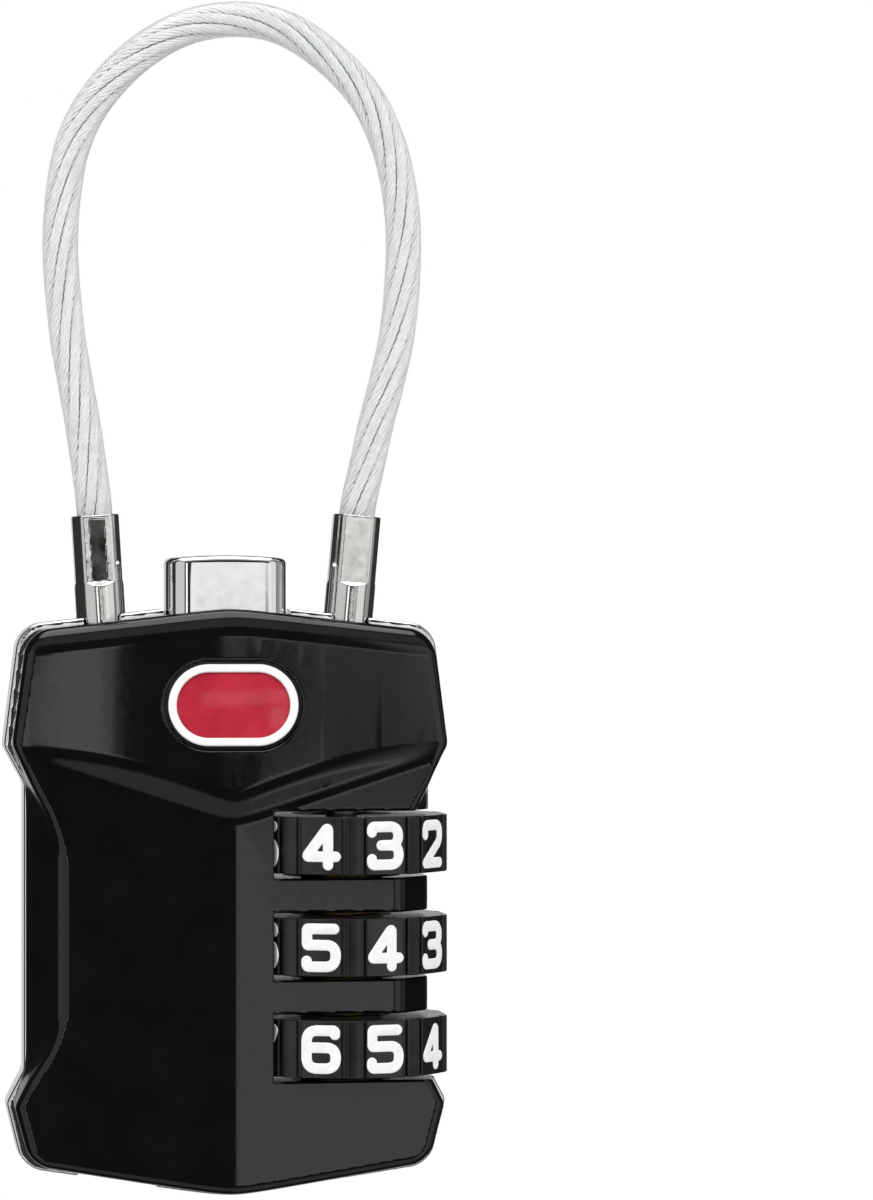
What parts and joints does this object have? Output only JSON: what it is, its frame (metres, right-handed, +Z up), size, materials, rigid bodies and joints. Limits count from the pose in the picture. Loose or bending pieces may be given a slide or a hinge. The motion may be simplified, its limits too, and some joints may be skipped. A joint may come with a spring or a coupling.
{
  "type": "cable luggage lock",
  "caption": "Luggage padlock with a cable loop, number dials along one side, a push button on top and a key override underneath.",
  "frame": {"origin": "middle of the lock's width and depth, at its lowest point", "axes": "+X to the right across the front face, +Y from the front to the back, +Z up along the dials' axis towards the cable loop"},
  "size_m": [0.0324, 0.0152, 0.0869],
  "materials": {
    "black_shell": "gloss black lacquer on die-cast zinc",
    "chrome_frame": "bright chrome plate",
    "badge_silver": "bright plated rim",
    "red_enamel": "glossy red enamel",
    "index_red": "red paint",
    "black_screw": "black oxide",
    "zinc_inner": "as cast or stamped, dull",
    "spring_steel": "spring steel",
    "brass_inner": "turned brass",
    "ferrule_plated": "nickel plated and crimped",
    "steel_rope": "stranded steel wire",
    "clear_jacket": "clear jacket",
    "bushing_black": "black acetal",
    "barrel_brass": "turned brass, plated",
    "button_chrome": "bright chrome plate",
    "dial_black": "satin black with white painted numbers"
  },
  "bodies": {
    "case": {"front_cover": "black_shell", "middle_frame": "chrome_frame", "back_cover": "black_shell", "badge_rim": "badge_silver", "badge_inlay": "red_enamel", "index_marks": "index_red", "cover_screws": "black_screw", "chassis": "zinc_inner", "detent_spring": "spring_steel", "dial_bushings": "bushing_black", "captive_ferrule": "ferrule_plated", "captive_collar": "zinc_inner", "wire_rope": "steel_rope", "cable_jacket": "clear_jacket", "latch_blade": "spring_steel", "ejector_spring": "spring_steel", "button_spring": "spring_steel", "lock_barrel": "barrel_brass"},
    "button": {"push_button": "button_chrome", "button_slide": "zinc_inner", "lock_spindle": "zinc_inner"},
    "dial_1": {"dial_1": "dial_black", "code_sleeve_1": "brass_inner"},
    "dial_2": {"dial_2": "dial_black", "code_sleeve_2": "brass_inner"},
    "dial_3": {"dial_3": "dial_black", "code_sleeve_3": "brass_inner"},
    "key": {"key_plug": "barrel_brass", "key_wafers": "zinc_inner", "key_cam": "zinc_inner", "plug_retainer": "spring_steel"},
    "free_end": {"free_ferrule": "ferrule_plated"}
  },
  "joints": [
    {"name": "dial_1_turn", "type": "hinge", "parent": "case", "child": "dial_1", "pos_m": [0.00855, 0, 0.0257], "axis": [0, 0, 1], "continuous": true},
    {"name": "dial_2_turn", "type": "hinge", "parent": "case", "child": "dial_2", "pos_m": [0.00855, 0, 0.0184], "axis": [0, 0, 1], "continuous": true},
    {"name": "dial_3_turn", "type": "hinge", "parent": "case", "child": "dial_3", "pos_m": [0.00855, 0, 0.0111], "axis": [0, 0, 1], "continuous": true},
    {"name": "button_press", "type": "slide", "parent": "case", "child": "button", "axis": [0, 0, -1], "range_m": [0, 0.0022], "stiffness_N_per_m": 250, "springref_m": -0.002, "deforming": ["button_spring"]},
    {"name": "key_turn", "type": "hinge", "parent": "case", "child": "key", "pos_m": [-0.008, 0, 0.01], "axis": [0, 0, 1], "range_deg": [-90, 0]},
    {"name": "free_end_pull", "type": "slide", "parent": "case", "child": "free_end", "axis": [0, 0, 1], "range_m": [0, 0.0095], "deforming": ["ejector_spring", "latch_blade", "wire_rope", "cable_jacket"]}
  ]
}
